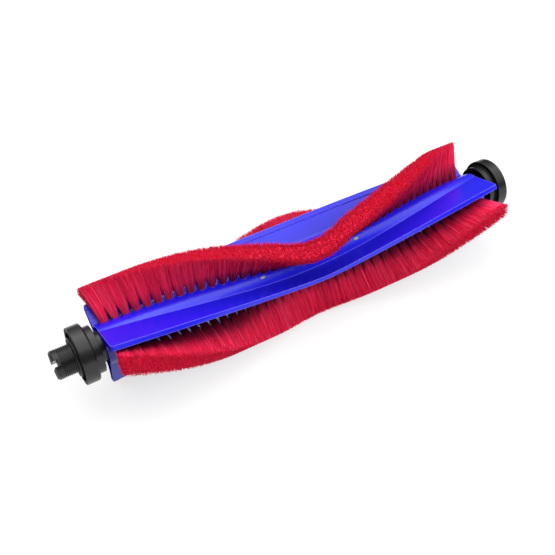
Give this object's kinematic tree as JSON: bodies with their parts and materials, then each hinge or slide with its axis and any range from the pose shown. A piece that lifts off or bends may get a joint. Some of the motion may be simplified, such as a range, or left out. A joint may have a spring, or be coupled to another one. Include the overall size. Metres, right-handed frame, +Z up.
{
  "type": "vacuum roller brush",
  "caption": "Vacuum floor-head roller brush: finned blue core with chevron rows of red bristle tufts, a turning bearing sleeve at one end and a socketed drive cap at the other.",
  "frame": {"origin": "on the roller's axis at the middle of its overall length, with the roller lying as it comes to rest on its bristles", "axes": "+X along the roller's axis towards the drive cap, +Z up"},
  "size_m": [0.2168, 0.0498, 0.0497],
  "materials": {
    "core_plastic": "glossy blue moulded plastic",
    "bristle_nylon": "red nylon filaments",
    "anchor_wire": "flat brass-plated wire",
    "pin_steel": "ground steel",
    "black_plastic": "satin black moulded plastic",
    "washer_nylon": "natural nylon",
    "bush_bronze": "sintered bronze"
  },
  "bodies": {
    "roller": {"brush_core": "core_plastic", "bristle_row_1": "bristle_nylon", "bristle_row_2": "bristle_nylon", "bristle_row_3": "bristle_nylon", "tuft_anchors": "anchor_wire", "axle_pin": "pin_steel", "retaining_ring": "pin_steel", "bearing_guard": "black_plastic", "thrust_washer": "washer_nylon", "drive_cap": "black_plastic"},
    "bearing": {"bearing_sleeve": "black_plastic", "bearing_bush": "bush_bronze"}
  },
  "joints": [
    {"name": "bearing_spin", "type": "hinge", "parent": "roller", "child": "bearing", "pos_m": [-0.1035, 0, 0], "axis": [1, 0, 0], "continuous": true}
  ]
}
